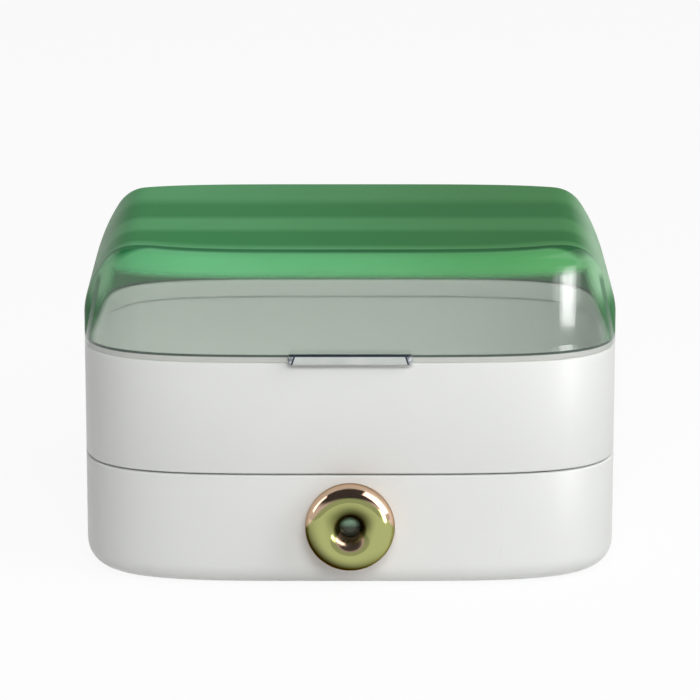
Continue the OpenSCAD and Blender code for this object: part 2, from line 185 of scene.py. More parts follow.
def close_cuts(skin, shift=(0, 0, 0)):
    """Moves the open edges by a shift and fills them."""
    rim = [edge for edge in skin.edges if edge.is_boundary]
    bmesh.ops.translate(skin, verts=list({vert for edge in rim for vert in edge.verts}), vec=shift)
    bmesh.ops.holes_fill(skin, edges=rim, sides=0)


def outline_share(place, inset):
    """How far out a point is, with 1 on the outline drawn in by the inset."""
    across = abs(place.x) / (HALF_WIDTH - inset)
    along = abs(place.y - MIDDLE_Y) / (HALF_DEPTH - inset)
    return (across ** SQUARENESS + along ** SQUARENESS) ** (1 / SQUARENESS)


def round_under(skin, wall):
    """Draws the outline's corners in over the bottom round, on the outside and on the inside."""
    for cut_height in BOTTOM_CUTS:
        slice_skin(skin, (0, 0, UNDERSIDE + cut_height * MM), (0, 0, 1))
    for cut_place in SIDE_CUTS:
        slice_skin(skin, (0, MIDDLE_Y + cut_place * MM, 0), (0, 1, 0), below=CUT_UNDER)
    for cut_place in BACK_CUTS:
        for side in (-1, 1):
            slice_skin(skin, (side * cut_place * MM, 0, 0), (1, 0, 0), below=CUT_UNDER)
    skin.normal_update()
    for vert in skin.verts:
        across = vert.co.x / HALF_WIDTH ** 2
        along = (vert.co.y - MIDDLE_Y) / HALF_DEPTH ** 2
        outward = Vector((across, along, 0)).normalized()
        within = vert.co.z > UNDERSIDE + wall - HAIR and outline_share(vert.co, wall) < NEAR_OUTLINE[1]
        within = within and vert.normal.dot(outward - Vector((0, 0, 1))) < 0
        inset = wall if within else 0
        height = vert.co.z - UNDERSIDE - inset
        radius = BOTTOM_ROUND - inset
        share = outline_share(vert.co, inset)
        if -HAIR < height < radius and NEAR_OUTLINE[0] < share < NEAR_OUTLINE[1]:
            drawn_in = inset + radius - math.sqrt(radius ** 2 - (radius - max(height, 0)) ** 2)
            excess = outline_share(vert.co, drawn_in)
            if excess > 1:
                vert.co.x /= excess
                vert.co.y = MIDDLE_Y + (vert.co.y - MIDDLE_Y) / excess


shell_white = moulded_white("shell_white", (0.80, 0.81, 0.79), 0.36)
housing_skin = merged_copy("base_housing")
round_under(housing_skin, HOUSING_WALL)
housing = add_piece("housing", housing_skin, shell_white, "box")
even_shading(housing)
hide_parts("base_housing")


# Four feet of soft dark rubber, pressed into shallow recesses under the housing.
# They lift the box by a millimetre, so no more than their sides can be seen.
rubber = new_material("foot_rubber")
rubber_inputs = {
    "Base Color": two_tone(rubber, grain(rubber, 120), (0.028, 0.028, 0.030), (0.047, 0.046, 0.046)),
    "Roughness": spread(rubber, grain(rubber, 500), 0.62, 0.85),
    "Normal": fine_bump(rubber, grain(rubber, 1800, 4), 0.3, 0.0001),
}
finish_with(rubber, principled(rubber, rubber_inputs))


def dress_node(node, material, edge=None):
    """Gives a CAD node its material and, where asked, a small round along its sharp edges."""
    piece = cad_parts[node]
    piece.data.materials.clear()
    piece.data.materials.append(material)
    if edge:
        weld = piece.modifiers.new("weld", "WELD")
        weld.merge_threshold = WELD_DISTANCE
        rounding = piece.modifiers.new("rounding", "BEVEL")
        rounding.width = edge
        rounding.segments = 2
        rounding.limit_method = "ANGLE"
        rounding.angle_limit = math.radians(40)
        rounding.harden_normals = True
    return piece


dress_node("rubber_feet", rubber)


# Four pan-head screws of zinc-plated steel. They are driven up through the housing's hollow
# posts into the bosses of the upper tray and hold the two tiers together.
steel = new_material("screw_steel")
steel_inputs = {
    "Base Color": two_tone(steel, grain(steel, 260, 3), (0.52, 0.52, 0.53), (0.64, 0.64, 0.63)),
    "Metallic": 1.0,
    "Roughness": spread(steel, grain(steel, 900, 3), 0.24, 0.40),
}
finish_with(steel, principled(steel, steel_inputs))
SCREW_EDGE = 0.25 * MM
dress_node("tier_screws", steel, SCREW_EDGE)


# Upper tray: an open tray of the same white plastic, with its own floor and a raised lip that
# the lid closes over. Its corners are moulded round, and its back carries the hinge ears,
# its floor the screw bosses and two hooks, and its walls the slots for the dividers.
OUTLINE_STEPS = 224
TRAY_BOTTOM = 61.9 * MM
TRAY_WALL = 2.4 * MM
LIP_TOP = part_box("upper_tray")[1].z
LIP_INSET = 2.6 * MM
LIP_WALL = 2 * MM
SHOULDER = LIP_TOP - 3.4 * MM
RIM_BOTTOM = SHOULDER - 6 * MM
SMALL_ROUND = 0.5 * MM
EMBED = 1.5 * MM
FLOOR_INSET = 30 * MM
HINGE_INNER = 43 * MM
PAST_FACE = 0.05 * MM
BACK_PLANE = MIDDLE_Y + HALF_DEPTH - PAST_FACE


def rounded(corners):
    """Profile of (inset, height) points from corners of (inset, height, radius)."""
    profile = []
    for index, (inset, height, radius) in enumerate(corners):
        here = Vector((inset, height))
        if not radius:
            profile.append(here)
            continue
        before = (Vector(corners[index - 1][:2]) - here).normalized()
        after = (Vector(corners[(index + 1) % len(corners)][:2]) - here).normalized()
        half_angle = before.angle(after) / 2
        centre = here + (before + after).normalized() * radius / math.sin(half_angle)
        start = here + before * radius / math.tan(half_angle) - centre
        end = here + after * radius / math.tan(half_angle) - centre
        turn = math.copysign(math.pi - 2 * half_angle, start.cross(end))
        steps = 3 + int(radius / (1.5 * MM))
        for step in range(steps + 1):
            profile.append(centre + Matrix.Rotation(turn * step / steps, 2) @ start)
    return profile


def place_ring(ring, turn, inset, height, limits):
    """Puts a ring on the outline at an inset and a height, kept within soft limits."""
    for vert in ring:
        across, along = math.cos(vert[turn]), math.sin(vert[turn])
        x = (HALF_WIDTH - inset) * abs(across) ** (2 / SQUARENESS)
        y = (HALF_DEPTH - inset) * abs(along) ** (2 / SQUARENESS)
        if limits:
            x = soft_limit(x, limits[0], HALF_WIDTH - inset)
            y *= limits[1] / (HALF_DEPTH - inset)
        vert.co = (math.copysign(x, across), MIDDLE_Y + math.copysign(y, along), height)


def soft_limit(value, limit, most):
    """The lower of two values, with a round crossing that is wider the lower the limit."""
    width = min(2 * MM, 0.6 * (most - limit))
    overlap = max(width - abs(value - limit), 0)
    return min(value, limit) - (overlap ** 2 / (4 * width) if width > 0 else 0)


def loft(skin, profile, closed=False, limits=None):
    """Skin over rings on the outline. An open profile ends in a flat face at each end."""
    turn = skin.verts.layers.float.new("turn")
    ring = bmesh.ops.create_circle(skin, segments=OUTLINE_STEPS, radius=1)["verts"]
    for vert in ring:
        vert[turn] = math.atan2(vert.co.y, vert.co.x)
    edges = list({edge for vert in ring for edge in vert.link_edges})
    first_edges = edges
    for index, (inset, height) in enumerate(profile):
        if index:
            made = bmesh.ops.extrude_edge_only(skin, edges=edges)["geom"]
            ring = [part for part in made if isinstance(part, bmesh.types.BMVert)]
            in_ring = set(ring)
            made_edges = [part for part in made if isinstance(part, bmesh.types.BMEdge)]
            edges = [edge for edge in made_edges if in_ring.issuperset(edge.verts)]
        place_ring(ring, turn, inset, height, limits(inset, height) if limits else None)
    if closed:
        bmesh.ops.bridge_loops(skin, edges=first_edges + edges)
    else:
        bmesh.ops.edgeloop_fill(skin, edges=first_edges)
        bmesh.ops.edgeloop_fill(skin, edges=edges)
    bmesh.ops.recalc_face_normals(skin, faces=skin.faces)


tray_profile = rounded([
    (FLOOR_INSET, TRAY_BOTTOM, 0),
    (0, TRAY_BOTTOM, 0.8 * MM),
    (0, SHOULDER, 0.7 * MM),
    (LIP_INSET, SHOULDER, 0),
    (LIP_INSET, LIP_TOP, SMALL_ROUND),
    (LIP_INSET + LIP_WALL, LIP_TOP, SMALL_ROUND),
    (LIP_INSET + LIP_WALL, RIM_BOTTOM, SMALL_ROUND),
    (TRAY_WALL, RIM_BOTTOM, 0),
    (TRAY_WALL, TRAY_BOTTOM + TRAY_WALL, 2 * MM),
    (FLOOR_INSET, TRAY_BOTTOM + TRAY_WALL, 0),
])
tray_skin = bmesh.new()
loft(tray_skin, tray_profile)
tray = add_piece("tray", tray_skin, shell_white, "box")


def hinge_skin(node):
    """What a node has behind the back wall at its left and right hinge, closed at the wall."""
    both = bmesh.new()
    for side in (-1, 1):
        one = merged_copy(node)
        slice_skin(one, (0, BACK_PLANE, 0), (0, 1, 0), clear=True)
        slice_skin(one, (side * HINGE_INNER, 0, 0), (side, 0, 0), clear=True)
        close_cuts(one, (0, -EMBED, 0))
        one_mesh = bpy.data.meshes.new("one_hinge")
        one.to_mesh(one_mesh)
        one.free()
        both.from_mesh(one_mesh)
        bpy.data.meshes.remove(one_mesh)
    return both


tray_ears = add_piece("tray_hinge_ears", hinge_skin("upper_tray"), shell_white, "box")

bosses_skin = merged_copy("upper_tray")
slice_skin(bosses_skin, (0, 0, TRAY_BOTTOM - PAST_FACE), (0, 0, -1), clear=True)
close_cuts(bosses_skin, (0, 0, EMBED))
tray_bosses = add_piece("tray_bosses", bosses_skin, shell_white, "box")

SLOT_HEIGHT = 17.5 * MM
SLOT_GAP = 0.3 * MM
RIB = 1.5 * MM
RIB_OUT = 2.5 * MM
RIB_IN_WALL = 1.2 * MM
RIB_IN_FLOOR = 0.5 * MM
RIB_ROUND = 0.3 * MM


def rib(skin, low, high):
    """An upright moulded rib with round edges, between two corners."""
    size = Vector(high) - Vector(low)
    place = Matrix.Translation((Vector(low) + Vector(high)) / 2) @ Matrix.Diagonal((*size, 1))
    verts = bmesh.ops.create_cube(skin, size=1, matrix=place)["verts"]
    edges = list({edge for vert in verts for edge in vert.link_edges})
    bmesh.ops.bevel(
        skin, geom=edges, offset=RIB_ROUND, affect="EDGES", segments=2, profile=0.5,
        material=-1, clamp_overlap=True)


def slot_ribs(skin, divider, end, inner_face, foot):
    """The two ribs that hold one end of a divider. The divider runs along x or y."""
    low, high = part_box(divider)
    run = 0 if high.x - low.x > high.y - low.y else 1
    across = 1 - run
    for side, edge in ((-1, low[across]), (1, high[across])):
        near = edge + side * SLOT_GAP
        far = near + side * RIB
        tip = inner_face - end * RIB_OUT
        root = inner_face + end * RIB_IN_WALL
        one = [0, 0, foot - RIB_IN_FLOOR]
        other = [0, 0, foot + SLOT_HEIGHT]
        one[across], other[across] = min(near, far), max(near, far)
        one[run], other[run] = min(tip, root), max(tip, root)
        rib(skin, one, other)


TRAY_FLOOR = TRAY_BOTTOM + TRAY_WALL
slots_skin = bmesh.new()
for divider, end in (
    ("tray_long_divider", -1), ("tray_long_divider", 1),
    ("tray_left_divider", -1), ("tray_right_divider", -1),
):
    low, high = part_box(divider)
    wall_face = (low.x, high.x)[end > 0] + end * SLOT_GAP
    if "long" not in divider:
        wall_face = low.y - SLOT_GAP
    slot_ribs(slots_skin, divider, end, wall_face, TRAY_FLOOR)
tray_slots = add_piece("tray_divider_slots", slots_skin, shell_white, "box")
for piece in (tray, tray_ears, tray_bosses, tray_slots):
    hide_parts("upper_tray")


# Tray dividers: one long and two short plates of white plastic, pushed down into the slots.
# They part the tray into a deep row at the back and three bays at the front.
inner_white = moulded_white("inner_white", (0.82, 0.83, 0.82), 0.42)
DIVIDER_EDGE = 0.4 * MM
for divider in ("tray_long_divider", "tray_left_divider", "tray_right_divider"):
    dress_node(divider, inner_white, DIVIDER_EDGE)


# Hinge pins: two plain steel rods, held in the tray's ears. The lid's lugs turn on them.
# Their ends are cut square and broken with a small round.
for pin in ("hinge_pin_left", "hinge_pin_right"):
    dress_node(pin, steel, 0.2 * MM)


# Lid: a deep dust cover of polished clear plastic in one moulding, rounded along its top edges
# and at its corners. Its top, back and ends are tinted green, and the front window is clear.
# Two lugs at the back hang on the hinge pins.
LID_WALL = 2.2 * MM
LID_EDGE = 121.1 * MM
LID_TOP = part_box("lid_shell")[1].z
SIDE_LEAN = 30 * MM
SIDE_DROP = 51 * MM
TIGHT_ROUND = 20 * MM
WIDE_ROUND = 73.05 * MM
ARC_JOIN = math.radians(35.76)
UPPER_ROUND = 11 * MM
SIDE_STEPS = 22
ROUND_STEPS = 16


def lid_limits(inset, height):
    """Half width and half depth that the lid's arched section allows at a height."""
    rise = height - (LID_TOP - SIDE_DROP)
    wide = WIDE_ROUND - inset
    tight = TIGHT_ROUND - inset
    upper = UPPER_ROUND - inset
    half_width = HALF_WIDTH - inset
    if rise > wide * math.sin(ARC_JOIN):
        up = min(height - (LID_TOP - TIGHT_ROUND), tight)
        half_width = HALF_WIDTH - SIDE_LEAN + math.sqrt(tight ** 2 - up ** 2)
    elif rise > 0:
        half_width = HALF_WIDTH - WIDE_ROUND + math.sqrt(wide ** 2 - rise ** 2)
    half_depth = HALF_DEPTH - inset
    up = min(height - (LID_TOP - UPPER_ROUND), upper)
    if up > 0:
        half_depth = HALF_DEPTH - UPPER_ROUND + math.sqrt(upper ** 2 - up ** 2)
    return half_width, half_depth


def lid_heights(inset):
    """Ring heights from the lid's edge to its top, closer together where it curves more."""
    crown = LID_TOP - UPPER_ROUND
    lean_start = LID_TOP - SIDE_DROP
    heights = [lean_start + (crown - lean_start) * step / SIDE_STEPS for step in range(SIDE_STEPS)]
    for step in range(ROUND_STEPS + 1):
        heights.append(crown + (UPPER_ROUND - inset) * math.sin(math.pi / 2 * step / ROUND_STEPS))
    return heights


lid_profile = [Vector((0, height)) for height in reversed(lid_heights(0))]
above_edge = LID_EDGE + 10 * MM
lid_profile += rounded([
    (0, above_edge, 0),
    (0, LID_EDGE, SMALL_ROUND),
    (LID_WALL, LID_EDGE, SMALL_ROUND),
    (LID_WALL, above_edge, 0),
])[1:-1]
lid_profile += [Vector((LID_WALL, height)) for height in lid_heights(LID_WALL)]
lid_skin = bmesh.new()
loft(lid_skin, lid_profile, limits=lid_limits)

GREEN_FROM = 164 * MM
WHITE = (1, 1, 1, 1)
lid_clear = new_material("lid_clear")
lid_place = own_place(lid_clear)


def parts_of(material, vector):
    """The sockets X, Y and Z of a vector."""
    return shader_node(material, "ShaderNodeSeparateXYZ", {"Vector": vector}).outputs


def ramp(material, value, start, end):
    """0 before start and 1 after end, with a smooth change between them."""
    inputs = {"Value": value, "From Min": start, "From Max": end}
    smooth = shader_node(material, "ShaderNodeMapRange", inputs, interpolation_type="SMOOTHSTEP")
    return smooth.outputs["Result"]


def combine(material, operation, first, second=0.0, third=0.0):
    """One operation of the shader's own arithmetic on up to three values."""
    inputs = {0: first, 1: second, 2: third}
    return shader_node(material, "ShaderNodeMath", inputs, operation=operation).outputs[0]


def product(material, *values):
    """Two or more values multiplied."""
    result = values[0]
    for value in values[1:]:
        result = combine(material, "MULTIPLY", result, value)
    return result


def band(material, value, start, full, fade, end):
    """1 between full and fade, with a smooth change to 0 at start and end."""
    return product(material, ramp(material, value, start, full), ramp(material, value, end, fade))


# Where the shell is green: its top, its back, and its ends along a leaning line.
lid_x, lid_y, lid_z = parts_of(lid_clear, lid_place)
sideways = combine(lid_clear, "ABSOLUTE", lid_x)
FRONT = MIDDLE_Y - HALF_DEPTH
BACK = MIDDLE_Y + HALF_DEPTH
top_share = ramp(lid_clear, lid_z, GREEN_FROM, GREEN_FROM + 6 * MM)
back_share = ramp(lid_clear, lid_y, FRONT + 22 * MM, FRONT + 44 * MM)
leaning = product(lid_clear, lid_z, 0.36)
side_share = ramp(lid_clear, combine(lid_clear, "ADD", sideways, leaning), 178 * MM, 185 * MM)
green_share = combine(lid_clear, "MAXIMUM", combine(lid_clear, "MAXIMUM", top_share, back_share), side_share)

# Painted shade: a dark line where the wall meets the tray's lip and a pale grey skirt below it; painted
# refraction: a dark line in each corner.
on_wall = ramp(lid_clear, lid_y, BACK + 0.4 * MM, BACK + 0.1 * MM)
seat_shade_band = band(
    lid_clear, lid_z, LIP_TOP - 0.2 * MM, LIP_TOP + 0.1 * MM, LIP_TOP + 0.7 * MM, LIP_TOP + 1.1 * MM)
seat_shade_share = product(lid_clear, seat_shade_band, on_wall)
skirt_shade_share = product(lid_clear, ramp(lid_clear, lid_z, LIP_TOP, LIP_TOP - 0.3 * MM), 0.7, on_wall)
# Painted refraction: a dark line down each front corner of the shell.
corner_line = combine(lid_clear, "MULTIPLY_ADD", lid_z, 0.21, sideways)
corner_refraction_band = band(lid_clear, corner_line, 161.8 * MM, 162.8 * MM, 164.0 * MM, 165.0 * MM)
past_corner = combine(lid_clear, "MULTIPLY_ADD", lid_z, 0.4, lid_y)
before_side = ramp(lid_clear, past_corner, MIDDLE_Y + 12.8 * MM, MIDDLE_Y + 6.8 * MM)
below_top = ramp(lid_clear, lid_z, 165 * MM, 159 * MM)
refraction_line_share = product(lid_clear, corner_refraction_band, before_side, below_top, 0.75)

# Painted reflection: the green is paler and deeper in broad bands from front to back, and along the outline
# at the front rim lies a painted highlight with a painted crease shade.
straight = shader_node(lid_clear, "ShaderNodeMapRange", {
    "Value": lid_y, "From Min": FRONT, "From Max": BACK,
}).outputs["Result"]
along_share = combine(lid_clear, "ABSOLUTE", combine(lid_clear, "MULTIPLY_ADD", straight, 2, -1))
across_share = combine(lid_clear, "DIVIDE", sideways, HALF_WIDTH)
across_power = combine(lid_clear, "POWER", across_share, SQUARENESS)
along_power = combine(lid_clear, "POWER", along_share, SQUARENESS)
both_powers = combine(lid_clear, "ADD", across_power, along_power)
outward = combine(lid_clear, "POWER", both_powers, 1 / SQUARENESS)
rim_band_place = combine(lid_clear, "MULTIPLY_ADD", outward, -0.5, 0.5)
corner_shift = product(lid_clear, ramp(lid_clear, sideways, 100 * MM, 121 * MM), 0.028)
rim_band_place = combine(lid_clear, "ADD", rim_band_place, corner_shift)
off_rim = ramp(lid_clear, straight, 0.125, 0.235)
band_place = shader_node(lid_clear, "ShaderNodeMix", {0: off_rim, 2: rim_band_place, 3: straight}).outputs[0]
painted_bands = shader_node(lid_clear, "ShaderNodeValToRGB", {0: band_place})
painted_bands.color_ramp.interpolation = "EASE"
HIGHLIGHT_GREEN = (0.15, 0.50, 0.21)
PALE_REFLECTION_GREEN = (0.105, 0.42, 0.145)
DEEP_GREEN = (0.034, 0.28, 0.068)
CREASE_SHADE_GREEN = (0.020, 0.15, 0.050)
END_LIGHT_GREEN = (0.48, 0.72, 0.50)
LOW_SHADE_GREEN = (0.050, 0.22, 0.078)
CLOUD_GREEN = (0.060, 0.30, 0.10)
CLEAR = (0.955, 0.965, 0.955, 1)
REFRACTION_LINE_COLOR = (0.022, 0.13, 0.045, 1)
SKIRT_SHADE_COLOR = (0.58, 0.59, 0.56, 1)
SEAT_SHADE_COLOR = (0.06, 0.085, 0.07, 1)
for place, color in (
    (0.027, HIGHLIGHT_GREEN), (0.035, CREASE_SHADE_GREEN), (0.046, CREASE_SHADE_GREEN), (0.053, HIGHLIGHT_GREEN),
    (0.060, PALE_REFLECTION_GREEN), (0.11, DEEP_GREEN), (0.26, DEEP_GREEN), (0.33, PALE_REFLECTION_GREEN),
    (0.43, PALE_REFLECTION_GREEN), (0.50, DEEP_GREEN), (0.62, DEEP_GREEN), (0.76, PALE_REFLECTION_GREEN),
    (0.95, PALE_REFLECTION_GREEN),
):
    stop = painted_bands.color_ramp.elements.new(place)
    stop.color = (*color, 1)
painted_bands.color_ramp.elements.remove(painted_bands.color_ramp.elements[0])
painted_bands.color_ramp.elements.remove(painted_bands.color_ramp.elements[-1])
# Painted light: the green is lighter towards the left and darker towards the right.
left_to_right = ramp(lid_clear, lid_x, -100 * MM, 100 * MM)
painted_side_light = two_tone(lid_clear, left_to_right, (1.25, 1.20, 1.35), (0.78, 0.80, 0.70))
side_lit_bands = shader_node(
    lid_clear, "ShaderNodeMix", {0: 1.0, 6: painted_bands.outputs["Color"], 7: painted_side_light},
    data_type="RGBA", blend_type="MULTIPLY").outputs[2]
# Painted light: a paler green high on the ends.
near_end = ramp(lid_clear, sideways, 116 * MM, 131 * MM)
high_side = ramp(lid_clear, lid_z, 136 * MM, 156 * MM)
pale_lit_ends = two_tone(lid_clear, product(lid_clear, near_end, high_side, 0.85), side_lit_bands, END_LIGHT_GREEN)
# Painted shade: a deeper green lower down the shell.
low_side = ramp(lid_clear, lid_z, 158 * MM, 138 * MM)
tint_with_painted_light = two_tone(lid_clear, low_side, pale_lit_ends, LOW_SHADE_GREEN)
cloud = spread(lid_clear, grain(lid_clear, 14, 2, lid_place), 0, 0.25)
polish = spread(lid_clear, grain(lid_clear, 60, 2, lid_place), 0.02, 0.05)
ripple = fine_bump(lid_clear, grain(lid_clear, 26, 1, lid_place), 0.10, 0.0004)


def cover(material, share, first, second):
    """Lays the second shader over the first by a share from 0 to 1."""
    inputs = {0: share, 1: first, 2: second}
    return shader_node(material, "ShaderNodeMixShader", inputs).outputs["Shader"]


window = principled(lid_clear, {
    "Base Color": CLEAR,
    "Roughness": polish,
    "Normal": ripple,
    "IOR": 1.49,
    "Transmission Weight": 1.0,
})
green = principled(lid_clear, {
    "Base Color": two_tone(lid_clear, cloud, tint_with_painted_light, CLOUD_GREEN),
    "Roughness": polish,
    "Normal": ripple,
    "IOR": 1.08,
    "Specular IOR Level": 0.0,
    "Transmission Weight": 0.16,
})
gloss_inputs = {"Color": WHITE, "Roughness": 0.04, "Normal": ripple}
gloss = shader_node(lid_clear, "ShaderNodeBsdfAnisotropic", gloss_inputs).outputs["BSDF"]
shell = cover(lid_clear, green_share, window, cover(lid_clear, 0.018, green, gloss))
for share, color, rough in (
    (refraction_line_share, REFRACTION_LINE_COLOR, 0.15),
    (skirt_shade_share, SKIRT_SHADE_COLOR, 0.25),
    (seat_shade_share, SEAT_SHADE_COLOR, 0.2),
):
    mark = principled(lid_clear, {"Base Color": color, "Roughness": rough, "Normal": ripple})
    shell = cover(lid_clear, share, shell, mark)
light_path = shader_node(lid_clear, "ShaderNodeLightPath", {})
let_through = shader_node(lid_clear, "ShaderNodeBsdfTransparent", {"Color": (0.74, 0.75, 0.74, 1)})
in_shadow = light_path.outputs["Is Shadow Ray"]
finish_with(lid_clear, cover(lid_clear, in_shadow, shell, let_through.outputs["BSDF"]))
lid = add_piece("lid", lid_skin, lid_clear, "lid")
lid_lugs = add_piece("lid_hinge_lugs", hinge_skin("lid_shell"), lid_clear, "lid")
for piece in (lid, lid_lugs):
    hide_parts("lid_shell")


# Lid pull: a short bar of clear plastic, cemented to the lid's front edge, with round ends.
# Painted reflection: dark lines along its top and slanting down just before each end, and painted glints on
# its ends.
PULL_END_ROUND = 2.3 * MM
PULL_EDGE_ROUND = 0.7 * MM
PULL_END = 2.4 * MM
PULL_END_DROP = 1.5 * MM
pull_low, pull_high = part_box("lid_pull")
pull_low.y += PAST_FACE
pull_centre = (pull_low + pull_high) / 2
pull_size = pull_high - pull_low
pull_skin = bmesh.new()
bmesh.ops.create_cube(
    pull_skin, size=1, matrix=Matrix.Translation(pull_centre) @ Matrix.Diagonal((*pull_size, 1)))
upright = []
for edge in pull_skin.edges:
    one, other = edge.verts
    if abs(one.co.z - other.co.z) > pull_size.z / 2 and one.co.y < pull_centre.y:
        upright.append(edge)
bmesh.ops.bevel(
    pull_skin, geom=upright, offset=PULL_END_ROUND, affect="EDGES", segments=8, profile=0.5,
    material=-1, clamp_overlap=True)
long_edges = []
for edge in pull_skin.edges:
    one, other = edge.verts
    if abs(one.co.z - other.co.z) < 0.1 * MM and edge.calc_face_angle(0) > math.radians(60):
        long_edges.append(edge)
bmesh.ops.bevel(
    pull_skin, geom=long_edges, offset=PULL_EDGE_ROUND, affect="EDGES", segments=4, profile=0.5,
    material=-1, clamp_overlap=True)
for vert in pull_skin.verts:
    along_end = (abs(vert.co.x) - pull_high.x + PULL_END) / PULL_END
    if along_end > 0 and vert.co.z > pull_centre.z:
        vert.co.z -= PULL_END_DROP * along_end ** 2

pull_clear = new_material("pull_clear")
pull_x, _, pull_z = parts_of(pull_clear, own_place(pull_clear))
# Painted reflection: dark lines on the top and before each end, and a speckle of painted glints and dark
# spots on the ends.
from_top = combine(pull_clear, "SUBTRACT", pull_z, pull_high.z)
leaning_x = combine(pull_clear, "MULTIPLY_ADD", from_top, 0.33, combine(pull_clear, "ABSOLUTE", pull_x))
top_reflection_line = ramp(pull_clear, pull_z, pull_high.z - 1.45 * MM, pull_high.z - 1.0 * MM)
line_start = pull_high.x - 4.5 * MM
line_full = pull_high.x - 4.1 * MM
line_fade = pull_high.x - 3.5 * MM
line_end = pull_high.x - 3.1 * MM
end_reflection_line = band(pull_clear, leaning_x, line_start, line_full, line_fade, line_end)
pull_dark_reflection = combine(pull_clear, "MAXIMUM", top_reflection_line, end_reflection_line)
face_clouds = spread(pull_clear, grain(pull_clear, 90), 0, 1)
tip_glint_pattern = spread(pull_clear, grain(pull_clear, 520), 0, 1, 0.42, 0.58)
pull_face = two_tone(pull_clear, face_clouds, (0.60, 0.64, 0.62), (0.68, 0.71, 0.69))
pull_tip_glints = two_tone(pull_clear, tip_glint_pattern, (0.20, 0.22, 0.25), (0.66, 0.68, 0.70))
tip_glint_share = ramp(pull_clear, leaning_x, line_fade, line_end)
pull_pale = two_tone(pull_clear, tip_glint_share, pull_face, pull_tip_glints)
pull_inputs = {
    "Base Color": two_tone(pull_clear, pull_dark_reflection, pull_pale, (0.016, 0.024, 0.045)),
    "Roughness": spread(pull_clear, grain(pull_clear, 300), 0.05, 0.14),
    "Normal": fine_bump(pull_clear, grain(pull_clear, 160, 1), 0.15, 0.0002),
    "IOR": 1.49,
    "Transmission Weight": 0.1,
}
finish_with(pull_clear, principled(pull_clear, pull_inputs))
pull = add_piece("pull", pull_skin, pull_clear, "lid")
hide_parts("lid_pull")


# Drawer front: a deep white shell that wraps round both sides of the box and under its edge.
# It is moulded with a flange along its top and four bosses for the screws of the drawer box.
FACE_TOP = face_high.z
FACE_WALL = 2.6 * MM
FACE_RETURN = 18 * MM
FLANGE = 10.5 * MM
FLANGE_THICK = 2 * MM
RETURN_ROUND = 0.3 * MM
BOSS_RADIUS = 4 * MM
BOSS_BACK = MIDDLE_Y - 79 * MM
BOSS_FRONT = MIDDLE_Y - HALF_DEPTH + 1.6 * MM
face_profile = rounded([
    (FACE_RETURN, UNDERSIDE, RETURN_ROUND),
    (0, UNDERSIDE, BOTTOM_ROUND),
    (0, FACE_TOP, 0.8 * MM),
    (FLANGE, FACE_TOP, RETURN_ROUND),
    (FLANGE, FACE_TOP - FLANGE_THICK, RETURN_ROUND),
    (FACE_WALL, FACE_TOP - FLANGE_THICK, 0),
    (FACE_WALL, UNDERSIDE + FACE_WALL, BOTTOM_ROUND - FACE_WALL),
    (FACE_RETURN, UNDERSIDE + FACE_WALL, RETURN_ROUND),
])
face_skin = bmesh.new()
loft(face_skin, face_profile, closed=True)
slice_skin(face_skin, (0, face_high.y, 0), (0, -1, 0), clear=True)
close_cuts(face_skin)
for screw_x in (-75 * MM, 75 * MM):
    for screw_z in (20 * MM, 44 * MM):
        middle = Matrix.Translation((screw_x, (BOSS_BACK + BOSS_FRONT) / 2, screw_z))
        bmesh.ops.create_cone(
            face_skin, cap_ends=True, segments=48, radius1=BOSS_RADIUS, radius2=BOSS_RADIUS,
            depth=BOSS_BACK - BOSS_FRONT, matrix=middle @ Matrix.Rotation(math.pi / 2, 4, "X"))
face = add_piece("drawer_face", face_skin, shell_white, "drawer")
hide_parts("drawer_front")


# Drawer box: a plain white tray with round corners that slides on the housing's runners.
# Two plates stand in its slots and part it into three bays, and four screws hold its front.
box_piece = add_piece("drawer_tray", merged_copy("drawer_box"), inner_white, "drawer")
even_shading(box_piece)
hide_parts("drawer_box")
for divider in ("drawer_left_divider", "drawer_right_divider"):
    dress_node(divider, inner_white, DIVIDER_EDGE)
dress_node("drawer_front_screws", steel, SCREW_EDGE)


# Ring knob: a thick round ring, plated in polished champagne gold, with its back cut flat.
# Its colour is painted reflection, rose at the rim and olive in the hollow towards the hole.
ring_low, ring_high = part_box("knob_ring")
KNOB_Z = (ring_low.z + ring_high.z) / 2
RING_TUBE = 8.9 * MM
RING_RADIUS = ring_high.x - RING_TUBE
RING_Y = ring_low.y + RING_TUBE
knob_axis = Vector((0, RING_Y, KNOB_Z))


def spin_round(skin, steps):
    """Turns the skin's section once round the knob's axis."""
    bmesh.ops.spin(
        skin, geom=skin.verts[:] + skin.edges[:], cent=knob_axis, axis=(0, 1, 0),
        angle=2 * math.pi, steps=steps, use_merge=True)
    bmesh.ops.remove_doubles(skin, verts=skin.verts, dist=WELD_DISTANCE)
    bmesh.ops.recalc_face_normals(skin, faces=skin.faces)


ring_skin = bmesh.new()
section_place = Matrix.Translation(knob_axis + Vector((RING_RADIUS, 0, 0)))
bmesh.ops.create_circle(ring_skin, segments=64, radius=RING_TUBE, matrix=section_place)
spin_round(ring_skin, 160)
slice_skin(ring_skin, (0, ring_high.y, 0), (0, -1, 0), clear=True)
bmesh.ops.bridge_loops(ring_skin, edges=[edge for edge in ring_skin.edges if edge.is_boundary])

gold = new_material("knob_gold")
from_centre = shader_node(gold, "ShaderNodeMapping", {"Vector": own_place(gold), "Location": -knob_axis})
gold_x, _, gold_z = parts_of(gold, from_centre.outputs["Vector"])
facing = shader_node(gold, "ShaderNodeTexCoord", {}).outputs["Normal"]
facing_x, facing_y, facing_z = parts_of(gold, facing)

